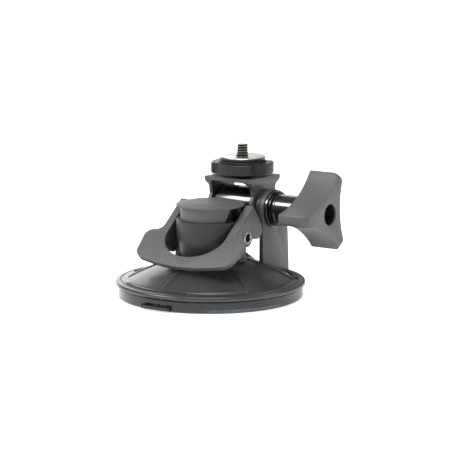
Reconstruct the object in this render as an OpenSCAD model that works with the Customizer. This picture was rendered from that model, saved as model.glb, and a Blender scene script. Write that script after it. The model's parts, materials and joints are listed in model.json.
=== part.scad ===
// Lever-lock suction-cup camera mount with a tilting saddle and a clamp knob.
// Frame: origin at the centre of the pad's underside, +Z up, +X towards the knob,
// -Y towards the lever's handle. Millimetres.

/* [Suction cup] */
// Radius of the clear pad at the glass
pad_r = 46.2; // [42:0.1:50]
// Height of the clear pad's side wall
pad_h = 6.0; // [4.5:0.1:7]
// Thickness of the pad's floor
pad_floor = 1.6; // [1.2:0.1:2.2]
// Thickness of the pad's side wall
pad_wall = 2.4; // [1.5:0.1:3]
// Reach of the pull tab past the pad
tab_reach = 2.2; // [1.5:0.1:5]
// Width of the pull tab
tab_w = 17; // [10:0.5:22]
// Overhang of the dome's hard lip past the pad
lip_over = 1.2; // [0.6:0.1:2.4]
// Thickness of the lip
lip_t = 2.4; // [2:0.1:4]
// Wall of the dome
dome_wall = 2.4; // [1.8:0.1:3]
// Height of the flat hub on top of the dome
hub_z = 19.2; // [17:0.1:21]
// Step of the hub past the housing's foot
hub_step = 0.8; // [0.5:0.1:2]
// Width of the flat flange between dome and lip
flange_w = 7.2; // [5:0.1:9]
// Number of raised ribs on the dome
rib_count = 6; // [3:1:12]

/* [Plunger] */
// Step of the housing's mouth inside the cap's rim
house_inset = 0.1; // [0.1:0.1:1]
// Taper of the housing from its mouth to its foot
house_taper = 3.1; // [2:0.1:4]
// Height of the housing above the dome's hub
house_h = 19.6; // [19:0.1:22]
// Wall of the housing
house_wall = 1.8; // [1.4:0.1:2]
// Thickness of the housing's rim round the cap's neck
house_rim = 2.0; // [1.8:0.1:2.6]
// Wall of the neck
neck_wall = 1.8; // [1.4:0.1:2.4]
// Radius of the cap
cap_r = 17.2; // [15:0.1:20]
// Height of the cap's rim above the housing, lever locked
cap_rise = 6.7; // [5:0.1:8]
// Thickness of the cap at its centre
cap_t = 2.6; // [1.6:0.1:3]
// Swing of the lever between locked and released
lever_swing = 78; // [70:1:78]
// Throw of the eccentric that lifts the plunger
cam_throw = 3.0; // [2:0.1:3]
// Wall of the eccentric at its thinnest
cam_wall = 1.1; // [0.8:0.1:1.5]
// Turn of the eccentric past its top when locked
cam_past = 5; // [2:1:8]
// Length of the eccentric
cam_len = 9; // [7:0.5:9]
// Radius of the plunger's stem
stem_r = 4; // [3:0.1:4.5]
// Radius of the stem's foot
foot_r = 8.5; // [7:0.1:10]

/* [Lever] */
// Angle between the locked lever and the glass
lever_slope = 38.66; // [35:0.01:42]
// Distance of the lever's top face above its pivot
lever_rise = 8.8; // [8:0.1:9.5]
// Thickness of the lever's plate
lever_t = 2.2; // [1.8:0.1:3]
// Gap between the cap and the horseshoe's arms
arm_gap = 0.5; // [0.4:0.1:1.5]
// Width of each arm
arm_w = 4.1; // [3.4:0.1:5]
// Reach of the horseshoe's shoulders past its arms
shoulder_w = 8.2; // [6:0.1:12]
// Reach of the horseshoe along its slope from the pivot
lever_reach = 30.3; // [29:0.1:34]
// Depth of the pivot below the housing's mouth
pivot_drop = 7.8; // [7.5:0.1:8.1]
// Place of the pivot along Y
pivot_y = 0.5; // [0:0.1:1]
// Outer radius of the hollow pivot pin
pin_r = 3.1; // [2.5:0.05:3.3]
// Bore radius of the hollow pivot pin
pin_bore_r = 2.2; // [1.5:0.05:2.4]

/* [Tilt head] */
// Gap between the cap and the drum
head_gap = 0.9; // [0.3:0.1:2]
// Height of the tilt axis above the glass
axis_z = 41.7; // [40:0.1:44]
// Thickness of the friction washer between saddle and post
washer_t = 3.3; // [1:0.1:4]
// Thickness of the post
post_t = 2.5; // [2:0.1:3]
// Radius of the post's round head
post_head_r = 9.8; // [9:0.1:10]
// Radius of the clamp bolt
bolt_r = 3; // [2.5:0.05:4]
// Radius of the drum in the saddle
drum_r = 10; // [8:0.1:10]
// Outer half width of the saddle
saddle_x = 13.4; // [12:0.1:14]
// Thickness of the saddle's cheeks
saddle_wall = 1.8; // [1.4:0.1:2.6]
// Radius of the saddle's cheeks round the tilt axis
saddle_r = 11.6; // [10.6:0.1:11.8]
// Depth of the saddle's top plate along Y
saddle_d = 26.4; // [24:0.1:28]
// Depth of the saddle at its waist
saddle_waist = 20; // [18:0.1:22]
// Height of the saddle's top face above the tilt axis
saddle_rise = 15.5; // [15:0.1:20]
// Thickness of the saddle's top plate
saddle_plate = 1.9; // [1.5:0.1:2.4]

/* [Knob] */
// Length of the sleeve between the washers and the knob
sleeve_len = 13.6; // [8:0.1:20]
// Length of the knob along its axis
knob_len = 16.5; // [14:0.1:20]
// Radius over the knob's three lobes
knob_r = 21.5; // [18:0.1:21.5]
// Thickness of a lobe at its tip
lobe_t = 5.5; // [4:0.1:7]
// Radius at the middle of the knob's hollow sides
knob_waist = 9.4; // [9:0.1:11]
// Turn of the knob at rest
knob_turn = 3; // [0:1:119]
// Radius of the recess in the knob's end
recess_r = 5.4; // [4.5:0.1:6]
// Radius of the sleeve between post and knob
sleeve_r = 8; // [6.5:0.1:8.5]

/* [Camera screw] */
// Radius of the 1/4 inch camera thread
screw_r = 3.175; // [3.175:0.001:3.175]
// Pitch of the camera thread, 20 turns to the inch
screw_pitch = 1.27; // [1.27:0.01:1.27]
// Length of thread that stands above the camera plate
screw_out = 6.1; // [5:0.1:8]
// Radius of the camera plate
plate_r = 11.7; // [10:0.1:14]
// Thickness of the camera plate
plate_t = 2; // [1.5:0.1:3]
// Radius over the thumb nut's lobes
nut_r = 15.9; // [14:0.1:15.9]
// Height of the thumb nut
nut_h = 6.3; // [5:0.1:8]
// Height of the thumb nut's lobes, under its hub
nut_lobe_h = 5.4; // [4:0.1:6]
// Turn of the thumb nut at rest
nut_turn = 18; // [0:1:89]
// Number of lobes on the thumb nut
nut_lobes = 4; // [3:1:8]
// Gap between thumb nut and saddle
nut_gap = 1.4; // [0.6:0.1:2]

/* [Fits] */
// Radial clearance of a running shaft in its hole
run = 0.05; // [0.03:0.01:0.08]
// Radial clearance of a part fixed in its seat
seat = 0.02; // [0.01:0.01:0.03]
// Clearance between moulded parts that pass each other
gap = 0.3; // [0.2:0.05:0.4]

/* [Hidden] */
$fn = 96;

lip_r = pad_r + lip_over;
skirt_r = lip_r - flange_w;
lip_z = pad_h;
flange_z = lip_z + lip_t + 0.2;
house_r = cap_r - house_inset;
house_foot_r = house_r - house_taper;
hub_r = house_foot_r + hub_step;
house_top = hub_z + house_h;
neck_r = house_r - house_rim;
cap_z = house_top + cap_rise;
pivot_z = house_top - pivot_drop;
axis_y = cap_r + head_gap + drum_r;
post_in = saddle_x + washer_t;
post_x = post_in + post_t;
sleeve_x = post_x + 3.2;
knob_x = sleeve_x + sleeve_len;
saddle_top = axis_z + saddle_rise;
lever_in = cap_r + arm_gap;
skirt_in_r = pad_r - pad_wall;
skirt_wall = 2.2;
cavity_z = hub_z - dome_wall;
dome_curve = [[0.205, 0.887], [0.441, 0.67], [0.717, 0.387]];
dome_points = [for (p = dome_curve)
    [hub_r + p[0] * (skirt_r - hub_r), flange_z + p[1] * (hub_z - flange_z)]];
rib_w = 1.4;
rib_h = 0.7;

cam_r = pin_r + cam_throw + cam_wall;
cam_z = pivot_z + cam_throw * cos(cam_past);
cam_y = pivot_y - cam_throw * sin(cam_past);
cam_lag = 0.3 * cam_throw;
plunger_travel = cam_throw * (cos(cam_past) - cos(lever_swing - cam_past));
window_top = cam_z + cam_r + cam_lag;
window_bottom = cam_z - cam_r - run;
window_front = cam_y - cam_r - gap;
window_back = pivot_y + cam_r + cam_throw + gap / 2;
frame_side = 1.3;
frame_bar = 2.8;
frame_x = cam_len / 2 + 0.5;
frame_top = cap_z - seat;
frame_base = window_bottom - frame_bar;
boss_low = 3.2;
foot_z = pad_floor + plunger_travel + boss_low;
foot_t = 2.4;
bush_flange_r = stem_r + 3;
bush_flange_t = 1.6;
bush_r = stem_r + 2;
spring_wire = 0.7;
spring_turns = 4;
spring_r = stem_r + 1.7;
spring_top = cavity_z - bush_flange_t - 0.05;
spring_bottom = foot_z + foot_t + 0.05;

arm_x = lever_in + arm_w;
lever_half_w = arm_x + shoulder_w;
lug_x = lever_in - gap;
lug_w = 4.2;
lug_d = 6;
house_screw_r = 1.25;
house_screw_at = bush_flange_r + 2.4;
cap_screw_at = 6.2;

knob_end = knob_x + knob_len;
washer_r = post_head_r - 0.3;
axis_run = bolt_r + run;
saddle_in = saddle_x - saddle_wall;
saddle_under = saddle_top - saddle_plate;
saddle_lip = 0.7;
saddle_neck_z = 8.6;
bolt_head = 2.8;
bolt_cover_r = 6.6;
relief_h = 1.6;
notch_r = 3.3;
notch_out = 1;
opening_y = 9;
opening_bow = 14.6;
block_x = 8;
block_y = 21;
block_slope = 7;
nut_z = saddle_top + nut_gap;
plate_z = nut_z + nut_h + seat;
relief = screw_pitch / 4;

// Points of an arc from angle a0 to angle a1
function arc(c, r, a0, a1, n = 8) =
    [for (i = [0 : n]) c + r * [cos(a0 + (a1 - a0) * i / n), sin(a0 + (a1 - a0) * i / n)]];

// Mirror image, in reverse order, of the points of a half outline
function mirrored(points) = [for (i = [len(points) - 1 : -1 : 0]) [-points[i][0], points[i][1]]];

// Bar along X between two places
module bar_x(r, x0, x1) translate([x0, 0, 0]) rotate([0, 90, 0]) cylinder(r = r, h = x1 - x0);

// Ring along X between two places
module ring_x(r_out, r_in, x0, x1) difference() {
    bar_x(r_out, x0, x1);
    bar_x(r_in, x0 - 1, x1 + 1);
}

// Moves a piece to the tilt axis
module at_axis() translate([0, axis_y, axis_z]) children();

// Moves a piece to the lever's pivot
module at_pivot() translate([0, pivot_y, pivot_z]) children();

// Two copies, one on each side of the middle plane
module both_sides() {
    children();
    mirror([1, 0, 0]) children();
}

/* ---- suction cup ---- */

// Half section of the dome, lip and skirt, from the outside
function dome_outside() = concat(
    [[0, hub_z], [hub_r, hub_z]],
    dome_points, [[skirt_r, flange_z + 0.5]],
    [[skirt_r + 0.5, flange_z], [lip_r - 3.2, flange_z], [lip_r - 2.8, lip_z + lip_t]],
    arc([lip_r - 1.2, lip_z + lip_t - 1.2], 1.2, 90, 0, 6),
    arc([lip_r - 0.9, lip_z + 0.9], 0.9, 0, -90, 6));

module dome_solid() rotate_extrude()
    polygon(concat(dome_outside(),
        [[skirt_in_r - seat, lip_z], [skirt_in_r - seat, pad_floor + seat], [0, pad_floor + seat]]));

module dome_cavity() rotate_extrude()
    polygon(concat([[0, -1], [skirt_in_r - skirt_wall, -1], [skirt_in_r - skirt_wall, flange_z - dome_wall],
                    [skirt_r - 1, flange_z - dome_wall]],
                   [for (i = [2 : -1 : 0]) dome_points[i] - [0.7, dome_wall]],
                   [[hub_r - 0.8, cavity_z], [0, cavity_z]]));

// Raised ribs that run down the dome
module dome_ribs() for (i = [0 : rib_count - 1]) rotate([0, 0, 30 + i * 360 / rib_count])
    rotate([90, 0, 0]) translate([0, 0, -rib_w / 2]) linear_extrude(rib_w)
        polygon(concat([dome_points[0] - [0, 1], dome_points[0] + [0, rib_h / 2]],
                       [dome_points[1] + [0, rib_h], dome_points[2] + [0, rib_h]],
                       [[skirt_r, flange_z + 0.5 + rib_h * 0.6], [skirt_r + 1.2, flange_z],
                        [skirt_r - 3, flange_z - 1]]));

// Post with a round head on the tilt axis and a foot that stands on the dome
module post() {
    at_axis() bar_x(post_head_r, post_in, post_x);
    translate([post_in, 0, 0]) rotate([90, 0, 90]) linear_extrude(post_t)
        polygon([[axis_y - post_head_r, axis_z], [axis_y - post_head_r, flange_z - 1],
                 [axis_y + post_head_r + 4.6, flange_z - 1], [axis_y + post_head_r + 3.4, axis_z - 12],
                 [axis_y + post_head_r + 0.5, axis_z - 3], [axis_y + post_head_r, axis_z]]);
}

// Block behind the housing that slopes down to the dome
module back_block() translate([-block_x, 0, 0]) rotate([90, 0, 90]) linear_extrude(2 * block_x)
    polygon([[hub_r - 2, cavity_z], [hub_r - 2, hub_z], [block_y, hub_z], [block_y + block_slope, hub_z - 4],
             [block_y + block_slope, hub_z - 6], [block_y, cavity_z - 1]]);

module base_shell() color("dimgray") difference() {
    union() {
        dome_solid();
        dome_ribs();
        post();
        back_block();
        both_sides() translate([lug_x - lug_w, -lug_d - 0.5, hub_z - 4]) cube([lug_w, 2 * lug_d + 1, 4]);
    }
    dome_cavity();
    translate([0, 0, cavity_z - 1]) cylinder(r = bush_r + seat, h = hub_z - cavity_z + 2);
    at_axis() bar_x(axis_run, post_in - 1, post_x + 1);
    for (a = [45 : 90 : 315]) rotate([0, 0, a])
        translate([house_screw_at, 0, cavity_z - 1]) cylinder(r = house_screw_r + run, h = dome_wall + 2);
}

module suction_pad() color("lightsteelblue", 0.5) {
    rotate_extrude() polygon(concat(
        [[0, 0], [pad_r - 0.6, 0]], arc([pad_r - 0.6, 0.6], 0.6, -90, 0, 4),
        [[pad_r, pad_h - seat], [skirt_in_r, pad_h - seat], [skirt_in_r, pad_floor], [0, pad_floor]]));
    translate([-tab_w / 2, -pad_r - tab_reach, 0.8]) cube([tab_w, tab_reach + 2, 2.2]);
}

module pad_boss() color("lightsteelblue", 0.5) translate([0, 0, pad_floor])
    cylinder(r = foot_r - 1, h = foot_z - pad_floor);

module stem_bush() color("gainsboro") difference() {
    union() {
        translate([0, 0, cavity_z - bush_flange_t - seat]) cylinder(r = bush_flange_r, h = bush_flange_t);
        translate([0, 0, cavity_z - 1]) cylinder(r = bush_r, h = hub_z - cavity_z + 1);
    }
    cylinder(r = stem_r + run, h = hub_z + 1);
}

/* ---- plunger and its housing ---- */

module plunger_housing() color("dimgray") difference() {
    union() {
        rotate_extrude() polygon([[0, hub_z + seat], [house_foot_r - 0.6, hub_z + seat],
            [house_foot_r, hub_z + 0.8], [house_foot_r + 1.3, hub_z + 4], [house_r - 0.7, hub_z + 8.8],
            [house_r - 0.2, hub_z + 13.8], [house_r, house_top - 1.3], [house_r, house_top - 0.4],
            [house_r - 0.4, house_top], [0, house_top]]);
        both_sides() translate([lug_x - lug_w, 0, 0]) rotate([90, 0, 90]) linear_extrude(lug_w)
            polygon([[-lug_d, hub_z + seat], [lug_d, hub_z + seat], [lug_d, pivot_z],
                     [lug_d - 1.8, pivot_z + 4.4], [-lug_d + 3, pivot_z + 4.4],
                     [-lug_d + 1.2, pivot_z - 1], [-lug_d, hub_z + 4]]);
    }
    // Room for the plunger, the seal and the neck
    rotate_extrude() polygon([[0, hub_z + 2], [house_foot_r - house_wall, hub_z + 2],
        [house_foot_r + 1.3 - house_wall, hub_z + 4.5], [neck_r + run - 0.6, hub_z + 8.8],
        [neck_r + run, pivot_z], [neck_r + run, house_top - 3.2], [neck_r + 1, house_top - 3.2],
        [neck_r + 1, house_top - 1.6],
        [neck_r + run, house_top - 1.6], [neck_r + run, house_top + 1], [0, house_top + 1]]);
    translate([0, 0, hub_z - 1]) cylinder(r = bush_r + 0.5, h = 4);
    at_pivot() bar_x(pin_r + run, -lug_x - 1, lug_x + 1);
    for (a = [45 : 90 : 315]) rotate([0, 0, a])
        translate([house_screw_at, 0, hub_z - 1]) cylinder(r = house_screw_r + seat, h = 4);
}

module housing_screws() color("silver") for (a = [45 : 90 : 315]) rotate([0, 0, a])
    translate([house_screw_at, 0, cavity_z - 1.4]) {
        cylinder(r = 2.2, h = 1.35);
        cylinder(r = house_screw_r, h = dome_wall + 3.2);
    }

module neck_seal() color("black") rotate_extrude()
    translate([neck_r + 0.52, house_top - 2.4]) circle(r = 0.45, $fn = 24);

module plunger_cap() color("gray") difference() {
    union() {
        rotate_extrude() polygon(concat([[0, cap_z], [cap_r - 0.5, cap_z]],
            arc([cap_r - 0.5, cap_z + 0.5], 0.5, -90, 45, 5),
            [[cap_r - 2.2, cap_z + 1.3], [cap_r - 6, cap_z + cap_t - 0.35], [0, cap_z + cap_t]]));
        translate([0, 0, house_top - 3.3]) cylinder(r = neck_r, h = cap_z - house_top + 3.4);
    }
    translate([0, 0, house_top - 4]) cylinder(r = neck_r - neck_wall, h = cap_z - house_top + 4);
    // Notches that clear the hinge lugs
    both_sides() translate([neck_r - neck_wall - 2, 0, 0]) rotate([90, 0, 90]) linear_extrude(neck_wall + 3)
        polygon([[-7.4, house_top - 4], [7.4, house_top - 4], [6.8, house_top], [3.8, cap_z], [-3.8, cap_z],
                 [-6.8, house_top]]);
    for (s = [-1, 1]) translate([0, s * cap_screw_at, cap_z - 1]) cylinder(r = 1 + seat, h = 2.2);
}

module cap_screws() color("silver") for (s = [-1, 1]) translate([0, s * cap_screw_at, 0]) {
    translate([0, 0, window_top + seat]) cylinder(r = 1, h = cap_z + 1 - window_top);
    translate([0, 0, window_top + seat]) cylinder(r = 1.7, h = 0.9);
}

module plunger_frame() color("slategray") difference() {
    translate([-frame_x, window_front - frame_side, frame_base])
        cube([2 * frame_x, window_back - window_front + 2 * frame_side, frame_top - frame_base]);
    translate([-frame_x - 1, window_front, window_bottom])
        cube([2 * frame_x + 2, window_back - window_front, window_top - window_bottom]);
    // The lower corners clear the tapered housing
    for (y = [window_front - frame_side, window_back + frame_side])
        translate([0, y, frame_base]) rotate([45, 0, 0]) cube([2 * frame_x + 2, 3, 3], center = true);
    for (s = [-1, 1]) translate([0, s * cap_screw_at, window_top - 1]) {
        cylinder(r = 1 + run, h = frame_top - window_top + 2);
        cylinder(r = 1.7 + run, h = 1.95);
    }
    translate([0, 0, frame_base - 1]) cylinder(r = stem_r - 1 + seat, h = frame_bar + 2);
}

module plunger_stem() color("silver") {
    translate([0, 0, foot_z]) cylinder(r = foot_r, h = foot_t);
    translate([0, 0, foot_z]) cylinder(r = stem_r, h = frame_base - foot_z - seat);
    translate([0, 0, foot_z]) cylinder(r = stem_r - 1, h = frame_base + frame_bar - 0.3 - foot_z);
}

// Coil of round wire in half turns, each tilted so that its end meets the next one's start
module release_spring() color("silver") {
    low = spring_bottom + spring_wire;
    step = (spring_top - spring_wire - low) / (2 * spring_turns);
    tilt = asin(step / (2 * spring_r));
    for (i = [0 : 2 * spring_turns - 1]) translate([0, 0, low + (i + 0.5) * step])
        rotate([0, i % 2 == 0 ? tilt : -tilt, 0]) rotate([0, 0, i % 2 == 0 ? 0 : 180])
            rotate_extrude(angle = 180) translate([spring_r, 0]) circle(r = spring_wire, $fn = 24);
}

// Eccentric pressed on the pivot pin, just past the top of its throw when locked
module cam_sleeve() color("silver") difference() {
    translate([0, cam_y, cam_z]) bar_x(cam_r, -cam_len / 2, cam_len / 2);
    at_pivot() bar_x(pin_r + seat, -cam_len, cam_len);
}

/* ---- lever ---- */

// Right half of the horseshoe's outline: across, and down the slope from the pivot
function lever_half() = concat(
    arc([0, lever_reach - 91.6], 91.6, 90, 75.2, 6),
    arc([lever_half_w - 7.8, lever_reach - 9.9], 7, 76, 0, 8),
    arc([lever_half_w - 4.4, 12.7], 4.4, 0, -90, 6),
    arc([arm_x + 4, 4.3], 4, 90, 180, 6),
    [[arm_x, -13.4], [lever_in, -13.4]],
    [for (i = [0 : 18]) [lever_in * cos(5 * i), opening_y + opening_bow * sin(5 * i)]]);

// Outline of a cheek: down the slope, and up from the pivot
function cheek() = concat(
    [[-13.4, lever_rise - 0.5], [-13.5, 1], [-12.6, -4.5]],
    arc([-9.2, -4.8], 3, 190, 280, 5),
    [[-6.4, -7.4]],
    arc([0, 0], 4.6, 235, 325, 6),
    [[6.2, -1.2], [10.6, -3.6], [11.9, -3.2], [12.9, 3.0], [16, lever_rise - lever_t],
     [16, lever_rise - 0.5]]);

module lever() color("gray") at_pivot() rotate([lever_slope, 0, 0]) difference() {
    union() {
        translate([0, 0, lever_rise - lever_t]) mirror([0, 1, 0]) linear_extrude(lever_t)
            polygon(concat(lever_half(), mirrored(lever_half())));
        both_sides() translate([lever_in, 0, 0]) mirror([0, 1, 0]) rotate([90, 0, 90])
            linear_extrude(arm_w) polygon(cheek());
    }
    bar_x(pin_r + seat, -arm_x - 1, arm_x + 1);
}

module lever_pin() color("tan") at_pivot() ring_x(pin_r, pin_bore_r, -arm_x - 0.5, arm_x + 0.5);

/* ---- tilt head ---- */

// Side outline of the saddle's cheeks: a disc round the axis, a waist and a wide top
function saddle_side() = concat(
    arc([0, 0], saddle_r, -180, 0, 24),
    arc([0, 0], saddle_r, 0, 34, 6),
    [[saddle_waist / 2, saddle_neck_z], [saddle_waist / 2 + 0.5, saddle_neck_z + 2.2],
     [saddle_d / 2, saddle_under - axis_z], [-saddle_d / 2, saddle_under - axis_z],
     [-saddle_waist / 2 - 0.5, saddle_neck_z + 2.2], [-saddle_waist / 2, saddle_neck_z]],
    arc([0, 0], saddle_r, 146, 180, 6));

module tilt_saddle() color("dimgray") difference() {
    union() {
        translate([-saddle_x - saddle_lip, axis_y - saddle_d / 2, saddle_under])
            cube([2 * (saddle_x + saddle_lip), saddle_d, saddle_plate]);
        both_sides() translate([saddle_in, axis_y, axis_z]) rotate([90, 0, 90])
            linear_extrude(saddle_wall) polygon(saddle_side());
    }
    at_axis() bar_x(axis_run, -saddle_x - 1, saddle_x + 1);
    translate([0, axis_y, saddle_under - 1]) cylinder(r = screw_r + seat, h = saddle_plate + 2);
}

module tilt_drum() color("black") at_axis() ring_x(drum_r, axis_run, -saddle_in + seat, saddle_in - seat);

module friction_washer() color("black") at_axis() ring_x(washer_r, axis_run, saddle_x + seat, post_in - seat);

module clamp_bolt() color("silver") at_axis() {
    bar_x(bolt_r, -saddle_x - 1, knob_x + 9);
    translate([-saddle_x - bolt_head, 0, 0]) rotate([0, 90, 0])
        cylinder(r = 5.6, h = bolt_head - seat, $fn = 6);
}

module bolt_cover() color("black") at_axis() difference() {
    bar_x(bolt_cover_r, -saddle_x - bolt_head - 1, -saddle_x - seat);
    translate([-saddle_x - bolt_head - seat, 0, 0]) rotate([0, 90, 0]) cylinder(r = 5.65, h = 5, $fn = 6);
}

module thrust_washer() color("black") at_axis() ring_x(washer_r, axis_run, post_x + seat, post_x + 1.8);
module steel_washer() color("silver") at_axis()
    ring_x(sleeve_r + 0.8, axis_run, post_x + 1.82, sleeve_x - seat);
module knob_sleeve() color("black") at_axis() ring_x(sleeve_r, axis_run, sleeve_x, knob_x - seat);

/* ---- knob ---- */

// Hollow side between two lobes, from one tip's corner to the next
function knob_side(a) = let (
    corner = [knob_r - 0.6, lobe_t / 2],
    turn = function (p, t) [p[0] * cos(t) - p[1] * sin(t), p[0] * sin(t) + p[1] * cos(t)],
    p0 = turn(corner, a), p1 = turn([corner[0], -corner[1]], a + 120),
    half = norm(p1 - p0) / 2,
    sag = norm((p0 + p1) / 2) - knob_waist,
    r = (half * half + sag * sag) / (2 * sag),
    c = (knob_waist + r) * [cos(a + 60), sin(a + 60)],
    spread = asin(half / r))
    concat(arc([0, 0], knob_r, a + atan2(-lobe_t / 2 + 0.7, knob_r), a + atan2(lobe_t / 2 - 0.7, knob_r), 3),
           arc(c, r, a + 240 + spread, a + 240 - spread, 14));

module knob_outline() polygon(concat(knob_side(0), knob_side(120), knob_side(240)));

module clamp_knob() color("gray") at_axis() difference() {
    intersection() {
        translate([knob_x, 0, 0]) rotate([90, 0, 90]) rotate([0, 0, 180 + knob_turn])
            linear_extrude(knob_len) knob_outline();
        // Round over the lobes' outer corners
        rotate([0, 90, 0]) rotate_extrude() polygon(concat(
            [[0, knob_x - 1], [knob_r + 1, knob_x - 1], [knob_r + 1, knob_end - 6]],
            arc([knob_r - 3, knob_end - 3], 3, 0, 90, 6), [[0, knob_end]]));
    }
    bar_x(recess_r, knob_end - 6.5, knob_end + 1);
    bar_x(5 + seat, knob_x - 1, knob_x + 9);
}

module knob_insert() color("goldenrod") at_axis() ring_x(5, axis_run, knob_x, knob_x + 9 - seat);

/* ---- camera screw ---- */

module camera_screw() color("silver") translate([0, axis_y, 0]) {
    translate([0, 0, saddle_under - 1.6]) cylinder(r = 5.2, h = 1.58, $fn = 6);
    translate([0, 0, saddle_under - 1])
        cylinder(r = screw_r, h = plate_z + plate_t - relief_h - saddle_under + 1);
    // Relief groove where the free thread starts
    translate([0, 0, plate_z]) cylinder(r = screw_r - relief, h = plate_t + 1);
    translate([0, 0, plate_z + plate_t]) cylinder(r = screw_r, h = screw_out);
}

module screw_clip() color("silver") translate([0, axis_y, saddle_top + seat]) difference() {
    cylinder(r = screw_r + 2, h = 0.5);
    translate([0, 0, -1]) cylinder(r = screw_r + run, h = 3);
}

module thumb_nut() color("dimgray") translate([0, axis_y, nut_z]) difference() {
    union() {
        difference() {
            cylinder(r = nut_r, h = nut_lobe_h);
            for (i = [0 : nut_lobes - 1]) rotate([0, 0, nut_turn + 45 + i * 360 / nut_lobes])
                translate([nut_r + notch_out, 0, -1]) cylinder(r = notch_r, h = nut_lobe_h + 2);
        }
        cylinder(r = plate_r + 0.3, h = nut_h);
    }
    translate([0, 0, -1]) cylinder(r = screw_r + run, h = nut_h + 2);
    translate([0, 0, -1]) cylinder(r = screw_r + 2.4, h = 1.6);
}

module camera_plate() color("lightgray") translate([0, axis_y, plate_z]) difference() {
    cylinder(r = plate_r, h = plate_t);
    translate([0, 0, -1]) cylinder(r = screw_r + run, h = plate_t + 2);
}

suction_pad();
pad_boss();
base_shell();
stem_bush();
plunger_housing();
housing_screws();
neck_seal();
plunger_cap();
cap_screws();
plunger_frame();
plunger_stem();
release_spring();
cam_sleeve();
lever();
lever_pin();
tilt_saddle();
tilt_drum();
friction_washer();
clamp_bolt();
bolt_cover();
thrust_washer();
steel_washer();
knob_sleeve();
clamp_knob();
knob_insert();
camera_screw();
screw_clip();
thumb_nut();
camera_plate();
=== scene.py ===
"""Detailed look of a lever-lock suction-cup camera mount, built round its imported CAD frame.

Sizes are millimetres. Places come from the frame's own pieces.
"""

from __future__ import annotations

import json
import logging
import math
from dataclasses import dataclass
from enum import Enum
from typing import Any, ClassVar, Iterable, Sequence

import bpy
from mathutils import Matrix, Vector

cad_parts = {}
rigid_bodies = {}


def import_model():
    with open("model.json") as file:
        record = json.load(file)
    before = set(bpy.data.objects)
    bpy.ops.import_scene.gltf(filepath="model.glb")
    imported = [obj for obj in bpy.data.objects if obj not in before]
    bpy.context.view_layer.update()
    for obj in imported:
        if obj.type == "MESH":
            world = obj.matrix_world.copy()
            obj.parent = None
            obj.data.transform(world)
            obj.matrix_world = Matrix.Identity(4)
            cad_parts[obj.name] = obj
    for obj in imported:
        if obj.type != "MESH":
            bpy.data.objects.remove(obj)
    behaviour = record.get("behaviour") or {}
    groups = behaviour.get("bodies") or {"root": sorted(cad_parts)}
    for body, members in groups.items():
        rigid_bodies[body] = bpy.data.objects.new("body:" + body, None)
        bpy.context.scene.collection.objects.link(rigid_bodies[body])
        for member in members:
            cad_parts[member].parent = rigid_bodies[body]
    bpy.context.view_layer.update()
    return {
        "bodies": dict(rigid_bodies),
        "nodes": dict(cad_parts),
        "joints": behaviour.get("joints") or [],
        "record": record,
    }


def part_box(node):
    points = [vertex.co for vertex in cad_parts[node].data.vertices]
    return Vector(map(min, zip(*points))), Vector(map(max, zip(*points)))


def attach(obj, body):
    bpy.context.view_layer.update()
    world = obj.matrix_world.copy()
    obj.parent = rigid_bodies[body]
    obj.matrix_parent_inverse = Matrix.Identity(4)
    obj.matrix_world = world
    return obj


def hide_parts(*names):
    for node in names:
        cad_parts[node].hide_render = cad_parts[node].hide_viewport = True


MM = 0.001
LOG = logging.getLogger("suction_mount")

Point2 = tuple[float, float]
Point3 = tuple[float, float, float]

UP = Matrix.Identity(3)
"""An outline drawn in X and Y, raised along Z."""
ACROSS = Matrix(((0, 0, 1), (1, 0, 0), (0, 1, 0)))
"""An outline drawn in Y and Z, raised along X."""
BACK = Matrix(((1, 0, 0), (0, 0, -1), (0, 1, 0)))
"""An outline drawn in X and Z, raised along -Y."""


# ---- outlines ---------------------------------------------------------------------------------


def arc(centre: Point2, radius: float, start: float, end: float, steps: int = 8) -> list[Point2]:
    """Points along a circle.

    Args:
        centre: the circle's centre.
        radius: its radius.
        start: first angle in degrees.
        end: last angle in degrees.
        steps: number of chords.

    Returns:
        The points, both ends included.
    """
    angles = [math.radians(start + (end - start) * i / steps) for i in range(steps + 1)]
    return [(centre[0] + radius * math.cos(a), centre[1] + radius * math.sin(a)) for a in angles]


def flowing(points: Sequence[Point2], steps: int = 5) -> list[Point2]:
    """Smooth curve through points.

    Args:
        points: the points that the curve passes.
        steps: number of chords between two of them.

    Returns:
        The curve's points.
    """
    ends = [points[0], *points, points[-1]]
    curve: list[Point2] = []
    for a, b, c, d in zip(ends, ends[1:], ends[2:], ends[3:]):
        for i in range(steps):
            t = i / steps
            curve.append(tuple(
                0.5 * (2 * b[k] + (c[k] - a[k]) * t + (2 * a[k] - 5 * b[k] + 4 * c[k] - d[k]) * t * t
                       + (3 * b[k] - a[k] - 3 * c[k] + d[k]) * t ** 3) for k in (0, 1)))
    return [*curve, points[-1]]


def turned(points: Iterable[Point2], degrees: float) -> list[Point2]:
    """Points turned about the origin by an angle in degrees."""
    c, s = math.cos(math.radians(degrees)), math.sin(math.radians(degrees))
    return [(x * c - y * s, x * s + y * c) for x, y in points]


def mirrored(points: Sequence[Point2]) -> list[Point2]:
    """Half an outline with its mirror image across the second axis."""
    return [*points, *[(-x, y) for x, y in reversed(points)]]


# ---- modelling --------------------------------------------------------------------------------


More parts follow.
